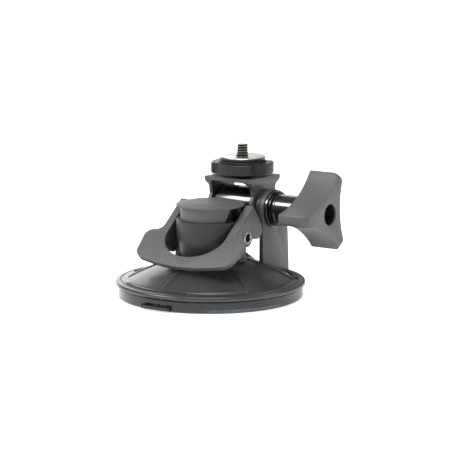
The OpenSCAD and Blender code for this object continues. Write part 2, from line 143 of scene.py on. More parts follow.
class Bench:
    """The hand operations from which every piece is made."""

    # Mark of rounded edges and thread crests: rubbed wear, and on dark steel a painted highlight.
    WEAR: ClassVar[str] = "edge_wear"
    WELD: ClassVar[float] = 0.002 * MM
    """Points that lie nearer than this are joined."""

    @staticmethod
    def clear() -> None:
        """Leaves edit mode and selects nothing."""
        if bpy.context.object is not None and bpy.context.object.mode != "OBJECT":
            bpy.ops.object.mode_set(mode="OBJECT")
        bpy.ops.object.select_all(action="DESELECT")

    @classmethod
    def hold(cls, piece: bpy.types.Object) -> None:
        """Makes one piece the selected and active one."""
        cls.clear()
        piece.select_set(True)
        bpy.context.view_layer.objects.active = piece

    @classmethod
    def chain(cls, name: str, points: Sequence[Point3]) -> bpy.types.Object:
        """Draws a run of edges, and stays in edit mode.

        Args:
            name: the piece's name.
            points: the run's corners in millimetres.

        Returns:
            The new object.
        """
        cls.clear()
        bpy.ops.mesh.primitive_plane_add(size=MM, location=Vector(points[0]) * MM)
        piece = bpy.context.object
        piece.name = name
        piece.data.name = name
        bpy.ops.object.transform_apply(location=True, rotation=True, scale=True)
        bpy.ops.object.mode_set(mode="EDIT")
        bpy.ops.mesh.select_mode(type="VERT")
        bpy.ops.mesh.select_all(action="SELECT")
        bpy.ops.mesh.merge(type="CENTER")
        for a, b in zip(points, points[1:]):
            step = (Vector(b) - Vector(a)) * MM
            bpy.ops.mesh.extrude_vertices_move(TRANSFORM_OT_translate={"value": step})
        return piece

    @classmethod
    def settle(cls, piece: bpy.types.Object, turn: Matrix, place: Point3) -> None:
        """Turns and moves a piece, and leaves its object at the origin.

        Args:
            piece: the piece.
            turn: its turn about the origin.
            place: where its own origin goes, in millimetres.
        """
        cls.hold(piece)
        piece.matrix_world = Matrix.Translation(Vector(place) * MM) @ turn.to_4x4()
        bpy.ops.object.transform_apply(location=True, rotation=True, scale=True)

    @classmethod
    def lathe(cls, name: str, profile: Sequence[Point2], turn: Matrix = UP, place: Point3 = (0, 0, 0),
              steps: int = 144) -> bpy.types.Object:
        """Spins a half section into a round piece.

        Args:
            name: the piece's name.
            profile: radius and height of each corner.
            turn: turn of the finished piece, with its axis along Z before it.
            place: where the foot of its axis goes.
            steps: number of facets round it.

        Returns:
            The new object.
        """
        piece = cls.chain(name, [(r, 0, z) for r, z in profile])
        bpy.ops.mesh.select_all(action="SELECT")
        bpy.ops.mesh.spin(steps=steps, angle=math.tau, center=(0, 0, 0), axis=(0, 0, 1))
        bpy.ops.mesh.select_all(action="SELECT")
        bpy.ops.mesh.remove_doubles(threshold=cls.WELD)
        bpy.ops.mesh.normals_make_consistent(inside=False)
        cls.settle(piece, turn, place)
        return piece

    @classmethod
    def ring(cls, name: str, profile: Sequence[Point2], turn: Matrix = UP, place: Point3 = (0, 0, 0),
             steps: int = 144) -> bpy.types.Object:
        """Spins a closed section into a ring; arguments and result as for lathe."""
        return cls.lathe(name, [*profile, profile[0]], turn, place, steps)

    @classmethod
    def prism(cls, name: str, outline: Sequence[Point2], low: float, high: float, turn: Matrix = UP,
              place: Point3 = (0, 0, 0)) -> bpy.types.Object:
        """Raises a closed outline into a solid.

        Args:
            name: the piece's name.
            outline: corners of the outline.
            low: start of the rise.
            high: end of the rise.
            turn: turn of the finished piece.
            place: where the outline's origin goes.

        Returns:
            The new object.
        """
        piece = cls.chain(name, [(x, y, low) for x, y in (*outline, outline[0])])
        bpy.ops.mesh.select_all(action="SELECT")
        bpy.ops.mesh.remove_doubles(threshold=cls.WELD)
        bpy.ops.mesh.select_all(action="SELECT")
        bpy.ops.mesh.edge_face_add()
        bpy.ops.mesh.extrude_region_move(TRANSFORM_OT_translate={"value": (0, 0, (high - low) * MM)})
        bpy.ops.mesh.select_all(action="SELECT")
        bpy.ops.mesh.normals_make_consistent(inside=False)
        cls.settle(piece, turn, place)
        return piece

    @classmethod
    def modify(cls, piece: bpy.types.Object, kind: str, **settings: Any) -> None:
        """Adds a modifier and applies it.

        Args:
            piece: the piece.
            kind: the modifier's type.
            **settings: its settings.
        """
        cls.hold(piece)
        modifier = piece.modifiers.new(kind.lower(), kind)
        for key, value in settings.items():
            setattr(modifier, key, value)
        bpy.ops.object.modifier_apply(modifier=modifier.name)

    @classmethod
    def combine(cls, piece: bpy.types.Object, tool: bpy.types.Object, operation: str) -> None:
        """Cuts, joins or trims a piece with another one, which is used up.

        Args:
            piece: the piece that stays.
            tool: the other one.
            operation: DIFFERENCE, UNION or INTERSECT.
        """
        cls.modify(piece, "BOOLEAN", operation=operation, object=tool, solver="EXACT")
        bpy.data.objects.remove(tool)

    @classmethod
    def drill(cls, piece: bpy.types.Object, radius: float, start: float, end: float, turn: Matrix = UP,
              place: Point3 = (0, 0, 0), steps: int = 48) -> None:
        """Cuts a round hole.

        Args:
            piece: the piece.
            radius: the hole's radius.
            start: one end of the hole along its axis.
            end: the other end.
            turn: turn of the hole, whose axis is along Z before it.
            place: where the foot of its axis goes.
            steps: number of facets round it.
        """
        tool = cls.lathe("bore", [(0, start), (radius, start), (radius, end), (0, end)], turn, place, steps)
        cls.combine(piece, tool, "DIFFERENCE")

    @classmethod
    def copy_round(cls, piece: bpy.types.Object, angles: Iterable[float]) -> None:
        """Adds turned copies of a piece round Z to the piece itself.

        Args:
            piece: the piece, which stays where it is.
            angles: the copies' angles in degrees.
        """
        copies = []
        for angle in angles:
            copy = piece.copy()
            copy.data = piece.data.copy()
            bpy.context.collection.objects.link(copy)
            cls.settle(copy, Matrix.Rotation(math.radians(angle), 3, "Z"), (0, 0, 0))
            copies.append(copy)
        cls.hold(piece)
        for copy in copies:
            copy.select_set(True)
        bpy.ops.object.join()

    @classmethod
    def round_edges(cls, piece: bpy.types.Object, width: float, segments: int = 3, limit: float = 32) -> None:
        """Rounds the sharp edges and marks them for edge wear, which dark steel shows as a painted highlight.

        Args:
            piece: the piece.
            width: width of the rounding.
            segments: number of strips over it.
            limit: least angle of an edge that is rounded, in degrees.
        """
        mesh = piece.data
        mesh.materials.clear()
        mesh.materials.append(None)
        mesh.materials.append(None)
        cls.modify(piece, "BEVEL", width=width * MM, segments=segments, limit_method="ANGLE",
                   angle_limit=math.radians(limit), material=1, use_clamp_overlap=True)
        mesh = piece.data
        worn = [0.0] * len(mesh.vertices)
        for face in mesh.polygons:
            if face.material_index == 1:
                for corner in face.vertices:
                    worn[corner] = 1.0
                face.material_index = 0
        mark = mesh.attributes.new(cls.WEAR, "FLOAT", "POINT")
        mark.data.foreach_set("value", worn)
        mesh.materials.clear()

    @classmethod
    def smooth(cls, piece: bpy.types.Object, angle: float = 30) -> None:
        """Shades a piece smooth up to an angle in degrees."""
        cls.hold(piece)
        bpy.ops.object.shade_smooth_by_angle(angle=math.radians(angle))


# ---- finishes ---------------------------------------------------------------------------------


class Signal:
    """A node's output on which Python's operators add Math nodes."""

    def __init__(self, shop: "PaintShop", socket: bpy.types.NodeSocket) -> None:
        """Wraps a socket of a shop's node tree."""
        self.shop = shop
        self.socket = socket

    def _math(self, operation: str, first: "Signal | float", second: "Signal | float") -> "Signal":
        """Adds one Math node and returns its result."""
        return self.shop.add("ShaderNodeMath", {"operation": operation}, {0: first, 1: second})

    def __add__(self, other: "Signal | float") -> "Signal":
        """self + other."""
        return self._math("ADD", self, other)

    __radd__ = __add__

    def __sub__(self, other: "Signal | float") -> "Signal":
        """self - other."""
        return self._math("SUBTRACT", self, other)

    def __rsub__(self, other: float) -> "Signal":
        """other - self."""
        return self._math("SUBTRACT", other, self)

    def __mul__(self, other: "Signal | float") -> "Signal":
        """self * other."""
        return self._math("MULTIPLY", self, other)

    __rmul__ = __mul__


class PaintShop:
    """One material's node tree."""

    def __init__(self, name: str) -> None:
        """Starts a material with its output and one Principled shader."""
        self.material = bpy.data.materials.new(name)
        self.material.use_nodes = True
        self.tree = self.material.node_tree
        self.tree.nodes.clear()
        output = self.tree.nodes.new("ShaderNodeOutputMaterial")
        self.shader = self.tree.nodes.new("ShaderNodeBsdfPrincipled")
        self.tree.links.new(self.shader.outputs[0], output.inputs["Surface"])
        self.place = self.add("ShaderNodeTexCoord", {}, {}, "Object")

    def feed(self, node: bpy.types.Node, sockets: dict[int | str, Any]) -> None:
        """Sets or links a node's sockets.

        Args:
            node: the node.
            sockets: each socket's name or number with its value or signal.
        """
        for key, value in sockets.items():
            if isinstance(value, Signal):
                self.tree.links.new(value.socket, node.inputs[key])
            else:
                node.inputs[key].default_value = value

    def add(self, kind: str, settings: dict[str, Any], sockets: dict[int | str, Any],
            output: int | str = 0) -> Signal:
        """Adds a node.

        Args:
            kind: the node's type.
            settings: its settings; "stops" holds a ramp's places and colours.
            sockets: its sockets' values or signals.
            output: the output that is wanted.

        Returns:
            That output's signal.
        """
        node = self.tree.nodes.new(kind)
        for key, value in settings.items():
            if key == "stops":
                ramp = node.color_ramp
                while len(ramp.elements) < len(value):
                    ramp.elements.new(0.5)
                for element, (place, shade) in zip(ramp.elements, value):
                    element.position = place
                    element.color = (shade, shade, shade, 1)
            else:
                setattr(node, key, value)
        self.feed(node, sockets)
        return Signal(self, node.outputs[output])

    def noise(self, size: float, detail: float = 2, stretch: Point3 = (1, 1, 1),
              rough: float = 0.5) -> Signal:
        """Noise on the piece.

        Args:
            size: size of its patches.
            detail: number of finer layers.
            stretch: factor on the pattern's pitch along each axis.
            rough: strength of the finer layers.

        Returns:
            A signal between 0 and 1.
        """
        mapped = self.add("ShaderNodeMapping", {}, {"Vector": self.place, "Scale": stretch})
        return self.add("ShaderNodeTexNoise", {}, {
            "Vector": mapped, "Scale": 1 / (size * MM), "Detail": detail, "Roughness": rough})

    def ramp(self, source: Signal, *stops: Point2) -> Signal:
        """A signal redrawn through stops of place and value."""
        return self.add("ShaderNodeValToRGB", {"stops": stops}, {"Fac": source})

    def tint(self, factor: Signal, low: Point3, high: Point3) -> Signal:
        """A colour between two colours, by a factor."""
        return self.add("ShaderNodeMix", {"data_type": "RGBA"},
                        {0: factor, 6: (*low, 1), 7: (*high, 1)}, 2)

    def blend(self, factor: Signal, low: Signal, high: Point3) -> Signal:
        """A colour signal that goes over to a colour, by a factor."""
        return self.add("ShaderNodeMix", {"data_type": "RGBA"}, {0: factor, 6: low, 7: (*high, 1)}, 2)

    def relief(self, height: Signal, depth: float, under: Signal | None = None) -> Signal:
        """Bump from a height.

        Args:
            height: the height signal.
            depth: its full depth.
            under: a bump to lay it on.

        Returns:
            The normal signal.
        """
        sockets: dict[int | str, Any] = {"Height": height, "Distance": depth * MM, "Strength": 1.0}
        if under is not None:
            sockets["Normal"] = under
        return self.add("ShaderNodeBump", {}, sockets)

    def wear(self) -> Signal:
        """How near a point is to a rounded edge."""
        return self.add("ShaderNodeAttribute", {"attribute_name": Bench.WEAR}, {}, "Fac")


def scaled(colour: Point3, factor: float) -> Point3:
    """A colour made lighter or darker."""
    return tuple(min(1.0, c * factor) for c in colour)


@dataclass(frozen=True)
class MouldedPlastic:
    """Spark-eroded or polished moulding, with grain, faint mottling and rubbed edges."""

    colour: Point3
    rough: float = 0.5
    grain: float = 0.35
    grain_depth: float = 0.012
    mottle: float = 0.05
    rub: float = 0.25
    coat: float = 0.0
    gloss: float = 0.5
    patch_size: float = 9
    handling_size: float = 2.2
    rubbed_light: float = 1.9
    dust: float = 0.10
    dust_colour: Point3 = (0.45, 0.44, 0.42)
    ior: float = 1.49
    coat_rough: float = 0.12

    def paint(self, name: str) -> bpy.types.Material:
        """Builds the material under a name."""
        shop = PaintShop(name)
        patches = shop.noise(self.patch_size, 3)
        handling = shop.noise(self.handling_size, 4, rough=0.65)
        grain = shop.noise(self.grain, 2)
        rubbed = shop.wear() * shop.ramp(handling, (0.35, 0.25), (0.7, 1))
        body = shop.tint(patches, scaled(self.colour, 1 - self.mottle), scaled(self.colour, 1 + self.mottle))
        edge = shop.blend(rubbed * self.rub, body, scaled(self.colour, self.rubbed_light))
        specks = shop.ramp(shop.noise(0.6, 1), (0.70, 0), (0.78, 1))
        colour = shop.blend(specks * self.dust, edge, self.dust_colour)
        rough = self.rough - 0.05 + handling * 0.1 - rubbed * 0.08
        shop.feed(shop.shader, {
            "Base Color": colour, "Roughness": rough, "IOR": self.ior, "Specular IOR Level": self.gloss,
            "Coat Weight": self.coat, "Coat Roughness": self.coat_rough,
            "Normal": shop.relief(grain, self.grain_depth)})
        return shop.material


@dataclass(frozen=True)
class TurnedMetal:
    """Metal with fine lines along one axis, stains, and edges made lighter: rubbed wear, and on dark steel a
    painted highlight.
    """

    colour: Point3
    rough: float = 0.3
    lines: Point3 = (1, 1, 12)
    line_size: float = 0.5
    depth: float = 0.004
    stain: float = 0.25
    crest: float = 1.4
    metallic: float = 1.0

    def paint(self, name: str) -> bpy.types.Material:
        """Builds the material under a name."""
        shop = PaintShop(name)
        lines = shop.noise(self.line_size, 3, stretch=self.lines)
        stains = shop.ramp(shop.noise(3.5, 4, rough=0.6), (0.35, 0), (0.75, 1))
        body = shop.tint(stains * self.stain, self.colour, scaled(self.colour, 0.6))
        # Marked edges lighten by crest: mild wear at 1.4, a painted highlight at dark_steel's 14.
        colour = shop.blend(shop.wear() * 0.9, body, scaled(self.colour, self.crest))
        shop.feed(shop.shader, {
            "Base Color": colour, "Metallic": self.metallic, "Roughness": self.rough - 0.06 + lines * 0.14,
            "Normal": shop.relief(lines, self.depth)})
        return shop.material


@dataclass(frozen=True)
class ClearVinyl:
    """Clear soft PVC, a little blue, with flow lines and tiny bubbles."""

    colour: Point3 = (0.055, 0.075, 0.095)
    rough: float = 0.08
    ior: float = 1.46
    clearness: float = 0.92
    ripple: float = 0.05

    def paint(self, name: str) -> bpy.types.Material:
        """Builds the material under a name."""
        shop = PaintShop(name)
        flow = shop.noise(6, 3, stretch=(1, 1, 3))
        bubbles = shop.ramp(shop.noise(0.9, 1), (0.72, 0), (0.8, 1))
        colour = shop.tint(flow, scaled(self.colour, 0.93), self.colour)
        shop.feed(shop.shader, {
            "Base Color": colour, "Roughness": self.rough + flow * 0.06 + bubbles * 0.12, "IOR": self.ior,
            "Transmission Weight": self.clearness, "Normal": shop.relief(flow + bubbles * 0.3, self.ripple)})
        return shop.material


@dataclass(frozen=True)
class SoftRubber:
    """Matte rubber with a bloom on it."""

    colour: Point3 = (0.022, 0.022, 0.022)

    def paint(self, name: str) -> bpy.types.Material:
        """Builds the material under a name."""
        shop = PaintShop(name)
        bloom = shop.ramp(shop.noise(1.8, 4, rough=0.6), (0.4, 0), (0.8, 1))
        shop.feed(shop.shader, {
            "Base Color": shop.tint(bloom, self.colour, scaled(self.colour, 1.8)),
            "Roughness": 0.62 + bloom * 0.2, "Normal": shop.relief(shop.noise(0.3), 0.01)})
        return shop.material


class Finish(Enum):
    """The finishes, each named after the record's material slot."""

    clear_pvc = ClearVinyl()
    dome_plastic = MouldedPlastic((0.036, 0.036, 0.037), rough=0.29, grain=0.5, grain_depth=0.0012)
    housing_plastic = MouldedPlastic((0.030, 0.030, 0.031), rough=0.42, grain_depth=0.008, gloss=0.3)
    cap_plastic = MouldedPlastic((0.080, 0.080, 0.082), rough=0.55)
    lever_plastic = MouldedPlastic((0.074, 0.074, 0.076), rough=0.54)
    knob_plastic = MouldedPlastic((0.072, 0.072, 0.072), rough=0.52)
    nut_plastic = MouldedPlastic((0.020, 0.019, 0.020), rough=0.40, grain_depth=0.006, gloss=0.28)
    drum_plastic = MouldedPlastic((0.012, 0.012, 0.012), rough=0.20, grain=1.2, grain_depth=0.003, mottle=0.2,
                                  coat=0.5)
    saddle_paint = MouldedPlastic((0.060, 0.056, 0.056), rough=0.50, grain=0.6, grain_depth=0.010)
    pale_nylon = MouldedPlastic((0.62, 0.61, 0.56), rough=0.5, grain_depth=0.006, rub=0.0)
    black_rubber = SoftRubber()
    screw_steel = TurnedMetal((0.55, 0.55, 0.55), rough=0.34)
    spring_steel = TurnedMetal((0.50, 0.50, 0.49), rough=0.28, lines=(4, 4, 4))
    sintered_steel = TurnedMetal((0.30, 0.29, 0.28), rough=0.5, lines=(1, 1, 1), depth=0.01)
    pin_steel = TurnedMetal((0.50, 0.47, 0.42), rough=0.36, lines=(10, 1, 1))
    # A crest of 14 paints a bright highlight on the stud's thread crests and head edges.
    dark_steel = TurnedMetal((0.035, 0.032, 0.029), rough=0.26, lines=(2, 2, 10), crest=14)
    plate_metal = TurnedMetal((0.52, 0.52, 0.50), rough=0.30, lines=(1, 1, 8), line_size=0.8, stain=0.12)
    brass = TurnedMetal((0.60, 0.42, 0.16), rough=0.3, lines=(10, 1, 1))


class Finisher:
    """Dresses pieces and frame nodes, one material for each finish."""

    def __init__(self, frame: dict[str, Any]) -> None:
        """Keeps the frame and starts with no material made."""
        self.frame = frame
        self.made: dict[Finish, bpy.types.Material] = {}

    def material(self, finish: Finish) -> bpy.types.Material:
        """The material of a finish, made once."""
        if finish not in self.made:
            self.made[finish] = finish.value.paint(finish.name)
        return self.made[finish]

    def dress(self, piece: bpy.types.Object, finish: Finish, body: str, *nodes: str,
              angle: float = 30) -> None:
        """Finishes a new piece.

        Args:
            piece: the piece.
            finish: its finish.
            body: the body it rides on.
            *nodes: the frame nodes it stands for.
            angle: largest angle that is shaded smooth, in degrees.
        """
        Bench.smooth(piece, angle)
        piece.data.materials.clear()
        piece.data.materials.append(self.material(finish))
        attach(piece, body)
        if nodes:
            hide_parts(*nodes)
        LOG.info("%s: %d faces, %s on %s", piece.name, len(piece.data.polygons), finish.name, body)

    def dress_frame(self) -> None:
        """Gives every frame node the finish of its material slot."""
        for part in self.frame["record"]["subparts"]:
            node = self.frame["nodes"][part["node"]]
            node.data.materials.clear()
            node.data.materials.append(self.material(Finish[part["material_slot"]]))
            LOG.info("%s: %s", part["node"], part["material_slot"])


# ---- places -----------------------------------------------------------------------------------


def low(node: str) -> Vector:
    """Lowest corner of a frame node, in millimetres."""
    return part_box(node)[0] / MM


def high(node: str) -> Vector:
    """Highest corner of a frame node, in millimetres."""
    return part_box(node)[1] / MM


def middle(node: str) -> Vector:
    """Middle of a frame node's box, in millimetres."""
    return (low(node) + high(node)) / 2


def span(node: str) -> Point3:
    """Both ends in X, and the radius, of a round frame node that lies along X."""
    return low(node).x, high(node).x, (high(node).z - low(node).z) / 2


def both_sides(near: float, far: float) -> list[tuple[str, float, float]]:
    """Name and ends in X of the left and right spans between two distances from the middle."""
    return [("left", -far, -near), ("right", near, far)]


# ---- sub-assemblies ---------------------------------------------------------------------------


@dataclass
class SuctionCup:
    """Clear pad, hard dome with ribs, and the post that carries the tilt head."""

    finisher: Finisher
    pad_wall: float = 2.4
    pad_floor: float = 1.6
    tab_width: float = 17
    tab_low: float = 0.8
    tab_high: float = 3.0
    lip_thick: float = 2.4
    flange_width: float = 7.2
    dome_wall: float = 2.4
    hub_radius: float = 14.8
    bush_radius: float = 6.02
    dome_curve: tuple[Point2, ...] = ((0.205, 0.887), (0.441, 0.67), (0.717, 0.387))
    rib_angles: tuple[float, ...] = (60, 120, 180, 240, 300)
    rib_lines: tuple[float, ...] = (-0.75, 0.75)
    rib_half: float = 0.3
    rib_rise: float = 0.45
    rib_start: float = 30
    post_head: float = 9.8
    bolt_bore: float = 3.1
    post_spread: Point2 = (10.3, 13.2)
    lug_depth: float = 6.5
    lug_width: float = 4.2
    lug_foot: float = 4
    block: tuple[Point2, ...] = ((12.8, -2.4), (12.8, 0), (21, 0), (28, -4), (28, -6), (21, -3.4))
    block_half: float = 8
    tick_runs: tuple[Point2, ...] = ((-128, -70), (34, 58), (168, 190))
    tick_step: float = 2.4
    tick_size: Point3 = (2.4, 0.9, 1.1)
    tick_out: float = 2.3

    def __post_init__(self) -> None:
        """Reads the places that the frame fixes."""
        self.pad_r = high("suction_pad").x
        self.tab_end = low("suction_pad").y
        self.pad_top = high("suction_pad").z
        self.lip_r = high("base_shell").x
        self.lip_low = self.pad_top + 0.02
        self.flange_z = self.lip_low + self.lip_thick + 0.2
        self.hub_z = low("plunger_housing").z - 0.02
        self.skirt_r = self.lip_r - self.flange_width
        self.axis = middle("tilt_drum")

    def dome_points(self) -> list[Point2]:
        """Radius and height of the dome's guiding points."""
        return [(self.hub_radius + u * (self.skirt_r - self.hub_radius),
                 self.flange_z + v * (self.hub_z - self.flange_z)) for u, v in self.dome_curve]

    def pad(self) -> None:
        """Models the clear pad with its rounded wall and pull tab."""
        r, top, wall = self.pad_r, self.pad_top - 0.03, self.pad_wall - 0.1
        profile = [(0, 0), (r - 0.9, 0), *arc((r - 0.9, 0.9), 0.9, -90, 0, 5), (r, 3.0),
                   *arc((r - 0.6, top - 0.6), 0.6, 0, 90, 4), (r - wall, top),
                   (r - wall, self.pad_floor + 0.1), (r - wall - 0.2, self.pad_floor), (0, self.pad_floor)]
        pad = Bench.lathe("clear_pad", profile, steps=180)
        half, end = self.tab_width / 2, self.tab_end
        outline = mirrored([(half, end + 4), *arc((half - 1.2, end + 1.2), 1.2, 0, -90, 5)])
        tab = Bench.prism("pull_tab", outline, self.tab_low, self.tab_high)
        Bench.hold(tab)
        bpy.ops.object.mode_set(mode="EDIT")
        bpy.ops.mesh.select_mode(type="FACE")
        bpy.ops.mesh.select_all(action="DESELECT")
        bpy.ops.object.mode_set(mode="OBJECT")
        for face in tab.data.polygons:
            face.select = face.normal.z > 0.9
        bpy.ops.object.mode_set(mode="EDIT")
        bpy.ops.mesh.inset(thickness=0.7 * MM)
        bpy.ops.transform.translate(value=(0, 0, -0.5 * MM))
        Bench.clear()
        Bench.round_edges(tab, 0.25, 2)
        self.finisher.dress(pad, Finish.clear_pvc, "base", "suction_pad")
        self.finisher.dress(tab, Finish.clear_pvc, "base", "suction_pad")

    def dome(self) -> None:
        """Models the hollow dome with its flange and rolled lip."""
        curve = flowing([(self.hub_radius, self.hub_z - 0.1), *self.dome_points(),
                         (self.skirt_r, self.flange_z + 0.5)], 6)
        lip_top = self.lip_low + self.lip_thick
        lip = [(self.lip_r - 3.3, self.flange_z), (self.lip_r - 3.0, self.flange_z - 0.1),
               (self.lip_r - 2.8, lip_top - 0.35), (self.lip_r - 2.4, lip_top - 0.35),
               (self.lip_r - 2.2, lip_top),
               *arc((self.lip_r - 1.2, lip_top - 1.2), 1.2, 90, 0, 6),
               *arc((self.lip_r - 0.9, self.lip_low + 0.9), 0.9, 0, -90, 5)]
        skirt_out = self.pad_r - self.pad_wall - 0.02
        skirt_in = skirt_out - 2.2
        inner = [(r - 0.7, z - self.dome_wall) for r, z in reversed(self.dome_points())]
        cavity_z = self.hub_z - self.dome_wall
        profile = [(self.bush_radius, self.hub_z), (self.hub_radius - 0.4, self.hub_z), *curve,
                   (self.skirt_r + 0.5, self.flange_z), *lip, (skirt_out, self.lip_low),
                   (skirt_out, self.pad_floor + 0.05), (skirt_in, self.pad_floor + 0.05),
                   (skirt_in, self.flange_z - self.dome_wall),
                   (self.skirt_r - 1, self.flange_z - self.dome_wall),
                   *inner, (self.hub_radius - 0.8, cavity_z), (self.bush_radius, cavity_z)]
        dome = Bench.ring("dome", profile, steps=192)
        self.finisher.dress(dome, Finish.dome_plastic, "base", "base_shell", angle=28)

    def ribs(self) -> None:
        """Models one double rib and copies it round the dome."""
        points = [(self.hub_radius + 3.2, self.hub_z - 0.5), *self.dome_points(),
                  (self.skirt_r, self.flange_z + 0.5)]
        crest = [(r, z + self.rib_rise) for r, z in flowing(points, 4)]
        crest[0] = (crest[0][0], crest[0][1] - 0.5)
        outline = [*crest, (self.skirt_r + 1.2, self.flange_z + 0.05), (self.skirt_r, self.flange_z - 1),
                   *[(r, z - 1) for r, z in reversed(points)]]
        half = self.rib_half
        first, second = (Bench.prism("dome_ribs", outline, c - half, c + half, BACK) for c in self.rib_lines)
        Bench.hold(first)
        second.select_set(True)
        bpy.ops.object.join()
        Bench.round_edges(first, 0.18, 2)
        Bench.settle(first, Matrix.Rotation(math.radians(self.rib_start), 3, "Z"), (0, 0, 0))
        Bench.copy_round(first, self.rib_angles)
        self.finisher.dress(first, Finish.dome_plastic, "base", "base_shell")

    def ticks(self) -> None:
        """Models one raised tick on the flange and copies it along three runs."""
        Bench.clear()
        radius = self.skirt_r + self.tick_out
        bpy.ops.mesh.primitive_cube_add(size=MM, location=(radius * MM, 0, (self.flange_z + 0.02) * MM))
        tick = bpy.context.object
        tick.name = "flange_ticks"
        bpy.ops.transform.resize(value=self.tick_size)
        bpy.ops.object.transform_apply(location=True, rotation=True, scale=True)
        Bench.round_edges(tick, 0.1, 1)
        angles: list[float] = []
        for start, end in self.tick_runs:
            angles += [start + i * self.tick_step for i in range(int((end - start) / self.tick_step))]
        Bench.settle(tick, Matrix.Rotation(math.radians(angles[0]), 3, "Z"), (0, 0, 0))
        Bench.copy_round(tick, [a - angles[0] for a in angles[1:]])
        self.finisher.dress(tick, Finish.dome_plastic, "base", "base_shell")

    def post(self) -> None:
        """Models the post with its round head, and the feet and block on the dome."""
        y, z = self.axis.y, self.axis.z
        inner, outer = high("friction_washer").x + 0.02, low("thrust_washer").x - 0.02
        foot = self.flange_z - 0.6
        near, far = self.post_spread
        outline = [(y - self.post_head, foot), *arc((y, z), self.post_head, 180, 0, 40), (y + near, z - 3),
                   (y + far, z - 12), (y + far + 1.2, foot)]
        post = Bench.prism("post", outline, inner, outer, ACROSS)
        Bench.drill(post, self.bolt_bore, inner - 1, outer + 1, ACROSS, (0, y, z))
        Bench.round_edges(post, 0.5, 3)
        self.finisher.dress(post, Finish.saddle_paint, "base", "base_shell")
        lug_out = high("plunger_housing").x
        deep, under = self.lug_depth, self.hub_z - self.lug_foot
        box = [(-deep, under), (deep, under), (deep, self.hub_z), (-deep, self.hub_z)]
        for side, x0, x1 in both_sides(lug_out - self.lug_width, lug_out):
            pad = Bench.prism(f"lug_foot_{side}", box, x0, x1, ACROSS)
            Bench.round_edges(pad, 0.4, 2)
            self.finisher.dress(pad, Finish.dome_plastic, "base", "base_shell")
        block = Bench.prism("back_block", [(a, self.hub_z + b) for a, b in self.block], -self.block_half,
                            self.block_half, ACROSS)
        Bench.round_edges(block, 0.5, 2)
        self.finisher.dress(block, Finish.dome_plastic, "base", "base_shell")

    def build(self) -> None:
        """Builds every piece."""
        self.pad()
        self.dome()
        self.ribs()
        self.ticks()
        self.post()


@dataclass
class PlungerUnit:
    """Tapered housing and the cap that slides in it."""

    finisher: Finisher
    rim: float = 2.0
    lug: tuple[Point2, ...] = ((-6, 0), (6, 0), (6, 11.8), (4.2, 16.2), (-3, 16.2), (-4.8, 10.8), (-6, 4))
    lug_width: float = 4.2
    pin_bore: float = 3.15
    neck_wall: float = 1.8

    def __post_init__(self) -> None:
        """Reads the places that the frame fixes."""
        self.foot = low("plunger_housing").z
        self.mouth = high("plunger_housing").z
        self.radius = high("plunger_housing").y
        self.lug_out = high("plunger_housing").x
        self.cap_r = high("plunger_cap").y
        self.cap_z = high("plunger_frame").z + 0.02
        self.cap_top = high("plunger_cap").z
        self.neck_low = low("plunger_cap").z
        self.pivot = middle("lever_pin")

    def bore(self) -> list[Point2]:
        """Half section of the space in the housing, from its floor up."""
        neck = self.radius - self.rim + 0.05
        return [(self.radius - 4.9, self.foot + 2), (self.radius - 3.6, self.foot + 4.5),
                (neck - 0.6, self.foot + 8.8), (neck, self.pivot.z)]

    def housing(self) -> None:
        """Models the tapered cup with its hinge lugs."""
        r, foot, top = self.radius, self.foot, self.mouth
        neck = r - self.rim + 0.05
        outer = flowing([(r - 3.1, foot + 0.8), (r - 1.8, foot + 4), (r - 0.7, foot + 8.8),
                         (r - 0.2, foot + 13.8), (r, top - 0.6)], 5)
        profile = [(6.5, foot), (r - 3.8, foot), *outer, *arc((r - 0.5, top - 0.5), 0.5, 0, 90, 4),
                   *arc((neck + 0.35, top - 0.35), 0.35, 90, 180, 3), (neck, top - 1.6),
                   (neck + 0.95, top - 1.6), (neck + 0.95, top - 3.2), (neck, top - 3.2),
                   *reversed(self.bore()), (6.5, foot + 2)]
        cup = Bench.ring("housing", profile, steps=160)
        self.finisher.dress(cup, Finish.housing_plastic, "base", "plunger_housing")
        for side, x0, x1 in both_sides(self.lug_out - self.lug_width, self.lug_out):
            lug = Bench.prism(f"hinge_lug_{side}", [(a, foot + b) for a, b in self.lug], x0, x1, ACROSS)
            room = Bench.lathe("room", [(0, foot + 2), *self.bore(), (neck, top), (0, top)], steps=96)
            Bench.combine(lug, room, "DIFFERENCE")
            Bench.drill(lug, self.pin_bore, x0 - 1, x1 + 1, ACROSS, (0, self.pivot.y, self.pivot.z))
            Bench.round_edges(lug, 0.3, 2, 40)
            self.finisher.dress(lug, Finish.housing_plastic, "base", "plunger_housing")

    def cap(self) -> None:
        """Models the crowned cap with its notched neck."""
        r, z, top = self.cap_r, self.cap_z, self.cap_top
        neck = self.radius - self.rim
        crown = flowing([(0, top), (r * 0.36, top - 0.16), (r * 0.65, top - 0.5), (r - 2.2, z + 1.3)], 5)
        profile = [*crown, (r - 1.2, z + 1.12), *arc((r - 0.55, z + 0.5), 0.5, 60, -80, 8), (r - 1.1, z),
                   *arc((neck + 0.4, z - 0.4), 0.4, 90, 180, 3), (neck, self.neck_low + 0.3),
                   (neck - 0.3, self.neck_low), (neck - self.neck_wall, self.neck_low),
                   (neck - self.neck_wall, z), (0, z)]
        cap = Bench.lathe("cap", profile, steps=180)
        notch = mirrored([(7.4, self.neck_low - 1), (6.8, self.mouth), (3.8, z - 0.05)])
        for _, x0, x1 in both_sides(neck - self.neck_wall - 2, neck + 1):
            Bench.combine(cap, Bench.prism("notch", notch, x0, x1, ACROSS), "DIFFERENCE")
        self.finisher.dress(cap, Finish.cap_plastic, "plunger", "plunger_cap", angle=28)

    def build(self) -> None:
        """Builds every piece."""
        self.housing()
        self.cap()


